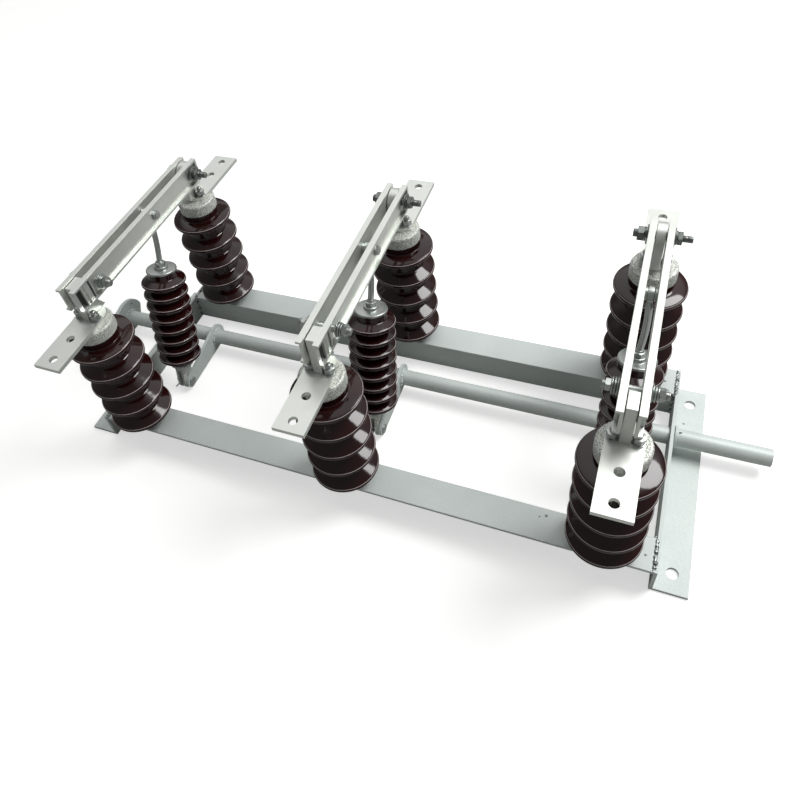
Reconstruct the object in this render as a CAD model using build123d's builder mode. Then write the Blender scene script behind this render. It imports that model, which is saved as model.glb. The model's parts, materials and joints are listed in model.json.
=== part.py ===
from build123d import *
from math import asin, atan2, cos, degrees, hypot, radians, sin, tan
import os

# Three-pole disconnect switch on a welded angle-iron base, blades closed.
# X runs along the operating shaft, Y to the hinge side, Z up from the floor.
# The origin is on the floor under the middle of the base.

pole_pitch = 300.0
poles = {"left": -pole_pitch, "middle": 0.0, "right": pole_pitch}
post_offset = 120.5

# Base of four angle irons.
base_half_length = 395.0
base_half_depth = 140.0
angle_leg = 40.0
angle_wall = 4.0
end_inner = base_half_length - angle_leg
foot_hole_radius = 6.5
foot_hole_x = 377.0
foot_hole_y = 117.0

# Post insulators.
post_foot_radius = 20.0
post_foot_top = 46.0
shed_radius = 40.5
shed_core = 25.0
shed_tip = 4.0
shed_lowest = 60.5
shed_pitch = 34.2
shed_slope = 30.0
top_cone_radius = 31.0
post_neck_radius = 23.0
post_neck_bottom = 200.0
cap_radius = 26.0
cap_bottom = 206.0
cap_top = 230.0
socket_depth = 16.0

# Terminals of flat bar, with the contact and hinge plates upright on them.
strap_width = 35.0
strap_thick = 5.0
strap_length = 101.0
strap_top = cap_top + strap_thick
front_strap_end = -199.0
rear_strap_end = 211.0
terminal_hole_radius = 5.0
terminal_hole_edge = 13.0
terminal_hole_pitch = 31.0
plate_thick = 10.0
contact_front = -125.0
contact_rear = -101.5
contact_top = 285.0
hinge_plate_half = 15.0

# Blades, two channel bars to each pole.
hinge_y = 120.0
blade_z = 271.0
blade_height = 32.0
blade_inner = 6.0
blade_outer = 12.8
blade_wall = 3.0
pad_front = -119.5
pad_length = 13.0
pad_height = 25.0
pad_thick = 1.5
blade_front = -131.0
blade_rear = 132.0
hinge_bolt_radius = 5.0
contact_bolt_y = -92.0
contact_bolt_radius = 4.0
link_pin_y = 30.0
link_pin_radius = 4.0
link_head_radius = 6.5
link_spacer_radius = 7.0

# Operating shaft, cranks and drive lever.
shaft_y = 47.0
shaft_z = 25.0
shaft_radius = 10.65
shaft_bore = 8.0
shaft_left = -450.0
shaft_right = 467.0
washer_radius = 14.0
washer_inner = end_inner + angle_wall + 1.0
washer_width = 3.0
lever_thick = 6.0
lever_reach = 75.0
lever_top_radius = 29.0
lever_low_radius = 24.0
lever_eye_radius = 14.0
lever_hole_radius = 6.0
crank_pin_y = -34.0
crank_pin_z = 14.0
crank_pin_radius = 4.0
crank_eye_radius = 18.0
crank_end_radius = 9.5
crank_near = 6.8
crank_thick = 4.5

# Pull rods, lengths measured from the crank pin along the rod.
rod_shed_radius = 29.5
rod_shed_core = 18.5
rod_shed_tip = 3.2
rod_shed_slope = 25.0
rod_shed_first = 47.5
rod_shed_pitch = 17.2
rod_porcelain_bottom = 36.0
rod_porcelain_top = 183.5
rod_cap_top = 187.0
rod_cap_radius = 20.0
rod_nut_top = 195.0
rod_nut_width = 13.0
rod_stem_radius = 4.5
rod_lug_thick = 6.0
rod_lug_radius = 8.5
rod_flat_length = 14.0
fork_leg_inner = 2.5
fork_leg_outer = 6.0
fork_leg_half = 10.0
fork_slot_top = 23.0
fork_shoulder = 15.0
fork_flare_radius = 12.0
ferrule_bottom = 31.0
ferrule_radius = 16.0

# Fits.
running_gap = 0.05
open_pivot_gap = 1.4

rod_dy = link_pin_y - crank_pin_y
rod_dz = blade_z - crank_pin_z
rod_length = hypot(rod_dy, rod_dz)

os.makedirs("parts", exist_ok=True)


def save(piece, name):
    piece.part.label = name
    export_step(piece.part, f"parts/{name}.step")


def shed_outline(levels, core, top_core, rim, tip, slope):
    """Outline of stacked sheds, the last cone ending at top_core; returns its two ends."""
    lean = radians(slope)
    under = radians(10)
    ends = []
    for level in levels:
        low = (rim - tip + tip * sin(under), level - tip * cos(under))
        high = (rim - tip + tip * sin(lean), level + tip * cos(lean))
        root_low = (core, low[1] + (low[0] - core) * tan(under))
        inner = top_core if level == levels[-1] else core
        root_high = (inner, high[1] + (high[0] - inner) * tan(lean))
        if ends:
            Line(ends[-1], root_low)
        Line(root_low, low)
        ThreePointArc(low, (rim, level), high)
        Line(high, root_high)
        ends += [root_low, root_high]
    return ends[0], ends[-1]


def rim_point(centre, radius, angle):
    """Point on a circle, the angle in degrees."""
    return (centre[0] + radius * cos(radians(angle)), centre[1] + radius * sin(radians(angle)))


def taper_plate(start, start_radius, stop, stop_radius):
    """Flat link with two round ends and straight sides touching both."""
    run = hypot(stop[0] - start[0], stop[1] - start[1])
    heading = degrees(atan2(stop[1] - start[1], stop[0] - start[0]))
    turn = 90 - degrees(asin((start_radius - stop_radius) / run))
    Polygon(
        rim_point(start, start_radius, heading + turn),
        rim_point(stop, stop_radius, heading + turn),
        rim_point(stop, stop_radius, heading - turn),
        rim_point(start, start_radius, heading - turn),
        align=None,
    )
    with Locations(start):
        Circle(start_radius)
    with Locations(stop):
        Circle(stop_radius)


# Front and rear beams: flange on top turned outward, web on the inner side.
web_outer = base_half_depth - angle_leg
for name, side in (("front_beam", -1), ("rear_beam", 1)):
    with BuildPart() as beam:
        with BuildSketch(Plane.YZ.offset(-end_inner)):
            with BuildLine():
                Polyline(
                    (side * base_half_depth, angle_leg),
                    (side * web_outer, angle_leg),
                    (side * web_outer, 0),
                    (side * (web_outer + angle_wall), 0),
                    (side * (web_outer + angle_wall), angle_leg - angle_wall),
                    (side * base_half_depth, angle_leg - angle_wall),
                    close=True,
                )
            make_face()
        extrude(amount=2 * end_inner)
    save(beam, name)

# End angles: foot turned outward with two mounting holes, upright leg bored for the shaft.
for name, side in (("left_end_angle", -1), ("right_end_angle", 1)):
    with BuildPart() as end_angle:
        with BuildSketch(Plane.XZ.offset(-base_half_depth)):
            with BuildLine():
                Polyline(
                    (side * end_inner, 0),
                    (side * base_half_length, 0),
                    (side * base_half_length, angle_wall),
                    (side * (end_inner + angle_wall), angle_wall),
                    (side * (end_inner + angle_wall), angle_leg),
                    (side * end_inner, angle_leg),
                    close=True,
                )
            make_face()
        extrude(amount=2 * base_half_depth)
        with Locations((side * foot_hole_x, -foot_hole_y, 0), (side * foot_hole_x, foot_hole_y, 0)):
            Cylinder(foot_hole_radius, 3 * angle_wall, mode=Mode.SUBTRACT)
        with Locations(Location((side * end_inner, shaft_y, shaft_z), (0, 90, 0))):
            Cylinder(shaft_radius + running_gap, 3 * angle_wall, mode=Mode.SUBTRACT)
    save(end_angle, name)

post_places = {}
for pole, x in poles.items():
    post_places[f"front_{pole}"] = (x, -post_offset)
    post_places[f"rear_{pole}"] = (x, post_offset)

# Post insulators of glazed porcelain with five sheds.
shed_levels = [shed_lowest + shed_pitch * i for i in range(5)]
for place, (x, y) in post_places.items():
    with BuildPart() as post:
        with BuildSketch(Plane(origin=(x, y, 0), x_dir=(1, 0, 0), z_dir=(0, -1, 0))):
            with BuildLine():
                first, last = shed_outline(
                    shed_levels, shed_core, top_cone_radius, shed_radius, shed_tip, shed_slope
                )
                Polyline(
                    last,
                    (top_cone_radius - 1, post_neck_bottom),
                    (post_neck_radius, post_neck_bottom),
                    (post_neck_radius, cap_bottom + socket_depth),
                    (0, cap_bottom + socket_depth),
                    (0, post_foot_top),
                    (shed_core, post_foot_top),
                    first,
                )
            make_face()
        revolve(axis=Axis((x, y, 0), (0, 0, 1)))
    save(post, f"{place}_post")

# Foot fittings under the posts and cast caps over them.
with BuildPart() as post_feet:
    with Locations([(x, y, angle_leg) for x, y in post_places.values()]):
        Cylinder(post_foot_radius, post_foot_top - angle_leg, align=(Align.CENTER, Align.CENTER, Align.MIN))
    chamfer(post_feet.edges().group_by(Axis.Z)[-1], 1.5)
save(post_feet, "post_feet")

with BuildPart() as post_caps:
    with Locations([(x, y, cap_bottom) for x, y in post_places.values()]):
        Cylinder(cap_radius, cap_top - cap_bottom, align=(Align.CENTER, Align.CENTER, Align.MIN))
    fillet(post_caps.edges().group_by(Axis.Z)[-1], 3)
    with Locations([(x, y, cap_bottom) for x, y in post_places.values()]):
        Cylinder(
            post_neck_radius,
            socket_depth,
            align=(Align.CENTER, Align.CENTER, Align.MIN),
            mode=Mode.SUBTRACT,
        )
save(post_caps, "post_caps")

# Terminal straps with two bolt holes in line.
for pole, x in poles.items():
    for name, outer, inward in (("front", front_strap_end, 1), ("rear", rear_strap_end, -1)):
        with BuildPart() as terminal:
            with BuildSketch(Plane.XY.offset(cap_top)):
                inner_centre = outer + inward * (strap_length - strap_width / 2)
                with Locations((x, (outer + inner_centre) / 2)):
                    Rectangle(strap_width, strap_length - strap_width / 2)
                with Locations((x, inner_centre)):
                    Circle(strap_width / 2)
                with Locations(
                    (x, outer + inward * terminal_hole_edge),
                    (x, outer + inward * (terminal_hole_edge + terminal_hole_pitch)),
                ):
                    Circle(terminal_hole_radius, mode=Mode.SUBTRACT)
            extrude(amount=strap_thick)
        save(terminal, f"{name}_{pole}_terminal")

# Contact plates in front and hinge plates behind, one of each to a pole.
with BuildPart() as contact_plates:
    for x in poles.values():
        with BuildSketch(Plane.YZ.offset(x - plate_thick / 2)):
            with BuildLine():
                Polyline(
                    (contact_front, strap_top),
                    (contact_front, contact_top),
                    (contact_rear - 3, contact_top),
                    (contact_rear, contact_top - 6),
                    (contact_rear, strap_top + 14),
                    (contact_rear + 8, strap_top),
                    close=True,
                )
            make_face()
        extrude(amount=plate_thick)
        with BuildSketch(Plane.YZ.offset(x - plate_thick / 2)):
            with Locations((hinge_y, blade_z)):
                Circle(hinge_plate_half)
            with Locations((hinge_y, (strap_top + blade_z) / 2)):
                Rectangle(2 * hinge_plate_half, blade_z - strap_top)
            with Locations((hinge_y, blade_z)):
                Circle(hinge_bolt_radius, mode=Mode.SUBTRACT)
        extrude(amount=plate_thick)
save(contact_plates, "contact_plates")

# Hinge bolts with head, washers and nut; they stay with the hinge plates.
with BuildPart() as hinge_bolts:
    for x in poles.values():
        with BuildSketch(Plane.YZ.offset(x - 24)):
            with Locations((hinge_y, blade_z)):
                Circle(hinge_bolt_radius)
        extrude(amount=56)
        with BuildSketch(Plane.YZ.offset(x - 24), Plane.YZ.offset(x + 16)):
            with Locations((hinge_y, blade_z)):
                RegularPolygon(8.0, 6, major_radius=False)
        extrude(amount=7.5)
        with BuildSketch(Plane.YZ.offset(x - 16.5), Plane.YZ.offset(x + 13.2)):
            with Locations((hinge_y, blade_z)):
                Circle(11.0)
        extrude(amount=3.2)
save(hinge_bolts, "hinge_bolts")

# Blades: web on the inner side, flanges turned outward, closed at the hinge end.
blade_low = blade_z - blade_height / 2
blade_high = blade_z + blade_height / 2
for pole, x in poles.items():
    with BuildPart() as blades:
        with BuildSketch(Plane.XZ.offset(-blade_rear)):
            for side in (-1, 1):
                with BuildLine():
                    Polyline(
                        (x + side * blade_inner, blade_low),
                        (x + side * blade_outer, blade_low),
                        (x + side * blade_outer, blade_low + blade_wall),
                        (x + side * (blade_inner + blade_wall), blade_low + blade_wall),
                        (x + side * (blade_inner + blade_wall), blade_high - blade_wall),
                        (x + side * blade_outer, blade_high - blade_wall),
                        (x + side * blade_outer, blade_high),
                        (x + side * blade_inner, blade_high),
                        close=True,
                    )
                make_face()
        extrude(amount=blade_rear - blade_front)
        for side in (-1, 1):
            with Locations(
                (
                    x + side * (blade_inner + blade_wall + pad_thick / 2),
                    pad_front + pad_length / 2,
                    blade_z,
                )
            ):
                Box(pad_thick, pad_length, pad_height)
            with Locations(
                (
                    x + side * (blade_inner + blade_wall + blade_outer) / 2,
                    blade_rear - blade_wall / 2,
                    blade_z,
                )
            ):
                Box(blade_outer - blade_inner - blade_wall, blade_wall, blade_height - 2 * blade_wall)
        for y, radius in (
            (hinge_y, hinge_bolt_radius + running_gap),
            (contact_bolt_y, contact_bolt_radius),
            (link_pin_y, link_pin_radius),
        ):
            with Locations(Location((x, y, blade_z), (0, 90, 0))):
                Cylinder(radius, 4 * blade_outer, mode=Mode.SUBTRACT)
    save(blades, f"{pole}_blades")

    with BuildPart() as clamp_bolt:
        for start, stop, radius in (
            (-29, 29, contact_bolt_radius),
            (-20, -blade_outer, 9.0),
            (blade_outer, 20, 9.0),
        ):
            with BuildSketch(Plane.YZ.offset(x + start)):
                with Locations((contact_bolt_y, blade_z)):
                    Circle(radius)
            extrude(amount=stop - start)
        with BuildSketch(Plane.YZ.offset(x - 26), Plane.YZ.offset(x + 20)):
            with Locations((contact_bolt_y, blade_z)):
                RegularPolygon(6.5, 6, major_radius=False)
        extrude(amount=6)
    save(clamp_bolt, f"{pole}_contact_bolt")

    with BuildPart() as link_pin:
        gap = rod_lug_thick / 2 + 0.3
        for start, stop, radius in (
            (-blade_inner - blade_wall, blade_inner + blade_wall, link_pin_radius),
            (blade_inner + blade_wall, blade_inner + blade_wall + 3.5, link_head_radius),
            (-blade_inner - blade_wall - 3.5, -blade_inner - blade_wall, link_head_radius),
            (gap, blade_inner, link_spacer_radius),
            (-blade_inner, -gap, link_spacer_radius),
        ):
            with BuildSketch(Plane.YZ.offset(x + start)):
                with Locations((link_pin_y, blade_z)):
                    Circle(radius)
            extrude(amount=stop - start)
    save(link_pin, f"{pole}_link_pin")

# Operating shaft of round tube, free to turn in both end angles.
with BuildPart() as shaft_tube:
    with BuildSketch(Plane.YZ.offset(shaft_left)):
        with Locations((shaft_y, shaft_z)):
            Circle(shaft_radius)
            Circle(shaft_bore, mode=Mode.SUBTRACT)
    extrude(amount=shaft_right - shaft_left)
save(shaft_tube, "shaft_tube")

with BuildPart() as shaft_washers:
    with BuildSketch(Plane.YZ.offset(washer_inner), Plane.YZ.offset(-washer_inner - washer_width)):
        with Locations((shaft_y, shaft_z)):
            Circle(washer_radius)
            Circle(shaft_radius, mode=Mode.SUBTRACT)
    extrude(amount=washer_width)
save(shaft_washers, "shaft_washers")

# Drive lever: a broad plate whose rear lower side is drawn in, so that it clears the floor as it turns.
hub = (shaft_y, shaft_z)
eye = (shaft_y - lever_reach, shaft_z)
high_side = 90 + degrees(asin((lever_top_radius - lever_eye_radius) / lever_reach))
low_side = 270 - degrees(asin((lever_low_radius - lever_eye_radius) / lever_reach))
with BuildPart() as drive_lever:
    with BuildSketch(Plane.YZ.offset(shaft_left - lever_thick)):
        with BuildLine():
            ThreePointArc(
                rim_point(hub, lever_low_radius, low_side),
                rim_point(hub, lever_low_radius, 300),
                rim_point(hub, lever_low_radius, 335),
            )
            Line(rim_point(hub, lever_low_radius, 335), rim_point(hub, lever_top_radius, 8))
            ThreePointArc(
                rim_point(hub, lever_top_radius, 8),
                rim_point(hub, lever_top_radius, 55),
                rim_point(hub, lever_top_radius, high_side),
            )
            Line(
                rim_point(hub, lever_top_radius, high_side),
                rim_point(eye, lever_eye_radius, high_side),
            )
            ThreePointArc(
                rim_point(eye, lever_eye_radius, high_side),
                rim_point(eye, lever_eye_radius, 180),
                rim_point(eye, lever_eye_radius, low_side),
            )
            Line(
                rim_point(eye, lever_eye_radius, low_side),
                rim_point(hub, lever_low_radius, low_side),
            )
        make_face()
        with Locations(eye):
            Circle(lever_hole_radius, mode=Mode.SUBTRACT)
        with Locations((shaft_y + 12, shaft_z + 18)):
            Circle(2.5, mode=Mode.SUBTRACT)
    extrude(amount=lever_thick)
save(drive_lever, "drive_lever")

for pole, x in poles.items():
    with BuildPart() as crank:
        with BuildSketch(Plane.YZ.offset(x + crank_near)):
            taper_plate(hub, crank_eye_radius, (crank_pin_y, crank_pin_z), crank_end_radius)
            with Locations(hub):
                Circle(shaft_radius, mode=Mode.SUBTRACT)
            with Locations((crank_pin_y, crank_pin_z)):
                Circle(crank_pin_radius, mode=Mode.SUBTRACT)
        extrude(amount=crank_thick)
    save(crank, f"{pole}_crank")

with BuildPart() as crank_pins:
    for x in poles.values():
        for start, stop, radius in (
            (-13, crank_near + crank_thick, crank_pin_radius),
            (crank_near + crank_thick, crank_near + crank_thick + 2.5, 6.5),
        ):
            with BuildSketch(Plane.YZ.offset(x + start)):
                with Locations((crank_pin_y, crank_pin_z)):
                    Circle(radius)
            extrude(amount=stop - start)
save(crank_pins, "crank_pins")

# Pull rods lean from the crank pin up to the link pin.
rod_axis = (0, rod_dy / rod_length, rod_dz / rod_length)
rod_levels = [rod_shed_first + rod_shed_pitch * i for i in range(8)]
for pole, x in poles.items():
    foot = (x, crank_pin_y, crank_pin_z)
    side_plane = Plane(origin=foot, x_dir=(1, 0, 0), z_dir=(0, -rod_axis[2], rod_axis[1]))
    cross_plane = Plane(origin=foot, x_dir=(1, 0, 0), z_dir=rod_axis)
    with BuildPart() as rod_porcelain:
        with BuildSketch(side_plane):
            with BuildLine():
                first, last = shed_outline(
                    rod_levels, rod_shed_core, rod_shed_core, rod_shed_radius, rod_shed_tip, rod_shed_slope
                )
                Polyline(
                    last,
                    (rod_shed_core, rod_porcelain_top),
                    (0, rod_porcelain_top),
                    (0, rod_porcelain_bottom),
                    (rod_shed_core, rod_porcelain_bottom),
                    first,
                )
            make_face()
        revolve(axis=Axis(foot, rod_axis))
    save(rod_porcelain, f"{pole}_rod_porcelain")

    with BuildPart() as rod_head:
        with BuildSketch(cross_plane.offset(rod_porcelain_top)):
            Circle(rod_cap_radius)
        extrude(amount=rod_cap_top - rod_porcelain_top)
        with BuildSketch(cross_plane.offset(rod_cap_top)):
            RegularPolygon(rod_nut_width / 2, 6, major_radius=False)
        extrude(amount=rod_nut_top - rod_cap_top)
        with BuildSketch(cross_plane.offset(rod_nut_top)):
            Circle(rod_stem_radius)
        extrude(amount=rod_length - rod_flat_length - rod_nut_top)
        with BuildSketch(cross_plane.offset(rod_length - rod_flat_length - 2)):
            Rectangle(rod_lug_thick, 2 * rod_stem_radius)
        extrude(amount=rod_flat_length)
        with BuildSketch(Plane.YZ.offset(x - rod_lug_thick / 2)):
            with Locations((link_pin_y, blade_z)):
                Circle(rod_lug_radius)
        extrude(amount=rod_lug_thick)
        with Locations(Location((x, link_pin_y, blade_z), (0, 90, 0))):
            Cylinder(link_pin_radius + running_gap, 2 * blade_outer, mode=Mode.SUBTRACT)
    save(rod_head, f"{pole}_rod_head")

    with BuildPart() as rod_fork:
        with BuildSketch(cross_plane.offset(ferrule_bottom)):
            Circle(ferrule_radius)
        extrude(amount=rod_porcelain_bottom - ferrule_bottom)
        with BuildSketch(cross_plane.offset(fork_shoulder)):
            Rectangle(2 * fork_leg_outer, 2 * fork_leg_half)
        with BuildSketch(cross_plane.offset(ferrule_bottom)):
            Circle(fork_flare_radius)
        loft()
        with BuildSketch(Plane(origin=foot, x_dir=(0, rod_axis[2], -rod_axis[1]), z_dir=(1, 0, 0))):
            Circle(fork_leg_half)
            with Locations((0, fork_shoulder / 2)):
                Rectangle(2 * fork_leg_half, fork_shoulder)
        extrude(amount=fork_leg_outer, both=True)
        with BuildSketch(cross_plane.offset(fork_slot_top)):
            Rectangle(2 * fork_leg_inner, 3 * fork_leg_half)
        extrude(amount=-fork_slot_top - 2 * fork_leg_half, mode=Mode.SUBTRACT)
        with Locations(Location(foot, (0, 90, 0))):
            Cylinder(crank_pin_radius + open_pivot_gap, 4 * fork_leg_outer, mode=Mode.SUBTRACT)
    save(rod_fork, f"{pole}_rod_fork")
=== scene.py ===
import json
from math import cos, pi, radians, sin, tan

import bmesh
import bpy
from mathutils import Matrix, Vector


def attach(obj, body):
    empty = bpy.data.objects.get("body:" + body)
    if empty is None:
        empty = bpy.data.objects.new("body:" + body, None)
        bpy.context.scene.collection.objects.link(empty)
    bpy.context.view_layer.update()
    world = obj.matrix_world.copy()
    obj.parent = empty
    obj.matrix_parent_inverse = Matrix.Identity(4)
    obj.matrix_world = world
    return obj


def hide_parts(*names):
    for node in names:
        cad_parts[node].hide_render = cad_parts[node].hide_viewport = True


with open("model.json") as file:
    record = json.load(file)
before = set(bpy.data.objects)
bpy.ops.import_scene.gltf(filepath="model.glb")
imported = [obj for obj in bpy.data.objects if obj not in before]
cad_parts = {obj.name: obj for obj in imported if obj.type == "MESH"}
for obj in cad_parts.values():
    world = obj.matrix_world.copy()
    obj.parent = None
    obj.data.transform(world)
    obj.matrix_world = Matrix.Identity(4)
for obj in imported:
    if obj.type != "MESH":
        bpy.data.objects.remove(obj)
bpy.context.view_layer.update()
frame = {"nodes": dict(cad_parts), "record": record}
nodes = frame["nodes"]
scene = bpy.context.scene
body_of = {
    node: body for body, held in frame["record"]["behaviour"]["bodies"].items() for node in held
}

# Sizes in millimetres.
poles = {"left": -300.0, "middle": 0.0, "right": 300.0}
post_places = [(x, y) for y in (-120.5, 120.5) for x in poles.values()]
hinge = (120.0, 271.0)
contact = (-92.0, 271.0)
link = (30.0, 271.0)
shaft = (47.0, 25.0)
crank_pin = (-34.0, 14.0)
strap_top = 235.0
millimetres = Matrix.Scale(0.001, 4)
upright = Matrix()
along_x = Matrix.Rotation(radians(90), 4, "Y")
half_turn = Matrix.Rotation(pi, 4, "X")


def colour(code):
    """Linear colour of an sRGB hex value."""
    parts = [int(code[i : i + 2], 16) / 255 for i in (1, 3, 5)]
    return [p / 12.92 if p <= 0.04045 else ((p + 0.055) / 1.055) ** 2.4 for p in parts] + [1.0]


def add(tree, kind, inputs=None, **settings):
    """Adds a node; inputs take a value or another node's socket."""
    node = tree.nodes.new(kind)
    for key, value in settings.items():
        setattr(node, key, value)
    for key, value in (inputs or {}).items():
        if isinstance(value, bpy.types.NodeSocket):
            tree.links.new(value, node.inputs[key])
        else:
            node.inputs[key].default_value = value
    return node


def new_material(name):
    material = bpy.data.materials.new(name)
    material.use_nodes = True
    tree = material.node_tree
    tree.nodes.clear()
    out = add(tree, "ShaderNodeOutputMaterial")
    place = add(tree, "ShaderNodeTexCoord").outputs["Object"]
    return material, tree, out, place


def noise(tree, place, scale, detail):
    """Cloudy pattern from 0 to 1, its scale in clouds a metre."""
    texture = add(tree, "ShaderNodeTexNoise", {"Vector": place, "Scale": scale, "Detail": detail})
    return texture.outputs["Fac"]


def between(tree, amount, first, second, blend="MIX"):
    """Colour from first to second by an amount; each is a hex code or a socket."""
    ends = [colour(end) if isinstance(end, str) else end for end in (first, second)]
    mix = add(
        tree,
        "ShaderNodeMixRGB",
        {"Fac": amount, "Color1": ends[0], "Color2": ends[1]},
        blend_type=blend,
    )
    return mix.outputs["Color"]


def ranged(tree, value, given, wanted):
    """Value moved from its given range to the wanted one."""
    span = add(
        tree,
        "ShaderNodeMapRange",
        {
            "Value": value,
            "From Min": given[0],
            "From Max": given[1],
            "To Min": wanted[0],
            "To Max": wanted[1],
        },
    )
    return span.outputs["Result"]


def ramp(tree, value, *stops):
    """Colour found between two (position, hex code) stops."""
    node = add(tree, "ShaderNodeValToRGB", {"Fac": value})
    for element, (position, code) in zip(node.color_ramp.elements, stops):
        element.position = position
        element.color = colour(code)
    return node.outputs["Color"]


def bumped(tree, height, strength, depth):
    """Surface direction tipped by a height pattern, its depth in metres."""
    bump = add(
        tree, "ShaderNodeBump", {"Height": height, "Strength": strength, "Distance": depth}
    )
    return bump.outputs["Normal"]


def finished(material, tree, out, settings):
    surface = add(tree, "ShaderNodeBsdfPrincipled", settings)
    tree.links.new(surface.outputs[0], out.inputs["Surface"])
    return material


# Aluminium paint brushed over hot-rolled angle iron: a satin silver-grey skin with faint
# clouds, a fine grain and a few dark pinholes by the welds.
def aluminium_paint():
    material, tree, out, place = new_material("aluminium_paint_on_rolled_steel")
    clouds = noise(tree, place, 22.0, 4.0)
    shade = between(tree, clouds, "#c2cac7", "#d3dad7")
    # Leafing flakes are 0.03 mm and would not show; they are drawn as 1.5 mm grain.
    flakes = noise(tree, place, 650.0, 1.0)
    grain = ranged(tree, flakes, (0.35, 0.65), (0.95, 1.03))
    base = between(tree, 1.0, shade, grain, "MULTIPLY")
    # Pinholes and scale blisters, at the places where the paint has failed: place and radius.
    for spot, size in (
        ((0.345, -0.123, 0.040), 0.0011),
        ((0.238, -0.109, 0.040), 0.0013),
        ((0.231, -0.112, 0.040), 0.0008),
        ((-0.338, -0.116, 0.040), 0.0009),
        ((0.341, 0.118, 0.040), 0.0012),
        ((0.346, 0.104, 0.040), 0.0009),
        ((0.372, 0.085, 0.004), 0.0010),
    ):
        reach = add(tree, "ShaderNodeVectorMath", {0: place, 1: spot}, operation="DISTANCE")
        hole = ranged(tree, reach.outputs["Value"], (size, size * 1.6), (0.75, 0.0))
        base = between(tree, hole, base, "#2e3331")
    settings = {
        "Base Color": base,
        "Metallic": 0.1,
        "Roughness": 0.5,
        "Normal": bumped(tree, clouds, 0.25, 0.0012),
    }
    return finished(material, tree, out, settings)


# Tin-plated copper bar: nearly white, drawn smooth, with a blurred mirror of what stands on it.
def tinned_copper():
    material, tree, out, place = new_material("tinned_copper_bar")
    wear = noise(tree, place, 60.0, 5.0)
    settings = {
        "Base Color": between(tree, wear, "#d3d7d1", "#e6e9e3"),
        "Metallic": 0.8,
        "Roughness": ranged(tree, wear, (0.3, 0.7), (0.36, 0.44)),
    }
    return finished(material, tree, out, settings)


# Zinc-plated steel of bolts and pins: a cool grey with a bright, slightly uneven shine.
def zinc_plate():
    material, tree, out, place = new_material("zinc_plated_steel")
    patches = noise(tree, place, 130.0, 2.0)
    settings = {
        "Base Color": between(tree, patches, "#a9aeab", "#c9cdca"),
        "Metallic": 1.0,
        "Roughness": ranged(tree, patches, (0.3, 0.7), (0.3, 0.42)),
    }
    return finished(material, tree, out, settings)


# Brown-glazed fired porcelain: near black where the glaze lies thick, maroon where it runs thin,
# with a wet gloss, soft ripples and a painted highlight: a pale line along each edge of a rim.
def glazed_porcelain():
    material, tree, out, place = new_material("brown_glazed_porcelain")
    pool = noise(tree, place, 28.0, 2.0)
    shade = between(tree, pool, "#130504", "#30100f")
    # The pale line along each rim edge is a painted highlight, read from a mesh attribute.
    highlight_mark = add(tree, "ShaderNodeAttribute", attribute_name="painted_rim_highlight").outputs["Fac"]
    line = ranged(tree, highlight_mark, (0.3, 0.9), (0.0, 0.9))
    ripple = noise(tree, place, 70.0, 1.0)
    settings = {
        "Base Color": between(tree, line, shade, "#cdc2c1"),
        "Roughness": 0.1,
        "IOR": 1.5,
        "Normal": bumped(tree, ripple, 0.12, 0.0015),
    }
    return finished(material, tree, out, settings)


# Sand-cast iron, hot-dip galvanised: pale grey, stippled with dark pits; the real ones are
# about 1 mm apart and are drawn at 1.5 mm so that they show.
def galvanised_casting():
    material, tree, out, place = new_material("galvanised_cast_iron")
    sand = add(tree, "ShaderNodeTexVoronoi", {"Vector": place, "Scale": 690.0})
    pits = sand.outputs["Distance"]
    settings = {
        "Base Color": ramp(tree, pits, (0.22, "#6e726b"), (0.58, "#dcdfd8")),
        "Metallic": 0.25,
        "Roughness": 0.5,
        "Normal": bumped(tree, pits, 0.35, 0.0004),
    }
    return finished(material, tree, out, settings)


# Near-black sheets behind the contact ribs: a dull dark green, painted shade for the channel
# recess.
def recess_shade_steel():
    material, tree, out, place = new_material("painted_recess_shade_steel")
    film = noise(tree, place, 180.0, 2.0)
    settings = {
        "Base Color": between(tree, film, "#262b28", "#434a46"),
        "Metallic": 0.6,
        "Roughness": 0.45,
    }
    return finished(material, tree, out, settings)


# Darker, older zinc of the hinge bolts, gone dull grey with handling.
def dull_zinc():
    material, tree, out, place = new_material("dull_zinc_plated_steel")
    patches = noise(tree, place, 150.0, 2.0)
    settings = {
        "Base Color": between(tree, patches, "#6b706d", "#959a97"),
        "Metallic": 0.85,
        "Roughness": 0.38,
    }
    return finished(material, tree, out, settings)


# Arc-weld metal under the same paint: glossy, rippled, with dark slag left in its folds.
def painted_weld():
    material, tree, out, place = new_material("painted_arc_weld")
    slag = noise(tree, place, 330.0, 3.0)
    settings = {
        "Base Color": ramp(tree, slag, (0.42, "#3c4240"), (0.56, "#c4cbc8")),
        "Metallic": 0.4,
        "Roughness": 0.35,
    }
    return finished(material, tree, out, settings)


paint = aluminium_paint()
tinned = tinned_copper()
zinc = zinc_plate()
glaze = glazed_porcelain()
casting = galvanised_casting()
weld = painted_weld()
recess_shade = recess_shade_steel()
dull = dull_zinc()

for node in nodes.values():
    node.data.materials.clear()
    node.data.materials.append(paint)


def rounded(corners, steps=5):
    """Profile points from (radius, height, bend) corners, each corner rounded by its bend."""
    points = []
    for i, (r, z, bend) in enumerate(corners):
        here = Vector((r, z))
        if not bend:
            points.append((r, z))
            continue
        before = (Vector(corners[i - 1][:2]) - here).normalized()
        after = (Vector(corners[(i + 1) % len(corners)][:2]) - here).normalized()
        half = before.angle(after) / 2
        centre = here + (before + after).normalized() * bend / sin(half)
        start = here + before * bend / tan(half)
        stop = here + after * bend / tan(half)
        for k in range(steps + 1):
            spoke = (start.lerp(stop, k / steps) - centre).normalized()
            points.append(tuple(centre + spoke * bend))
    return points


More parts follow.
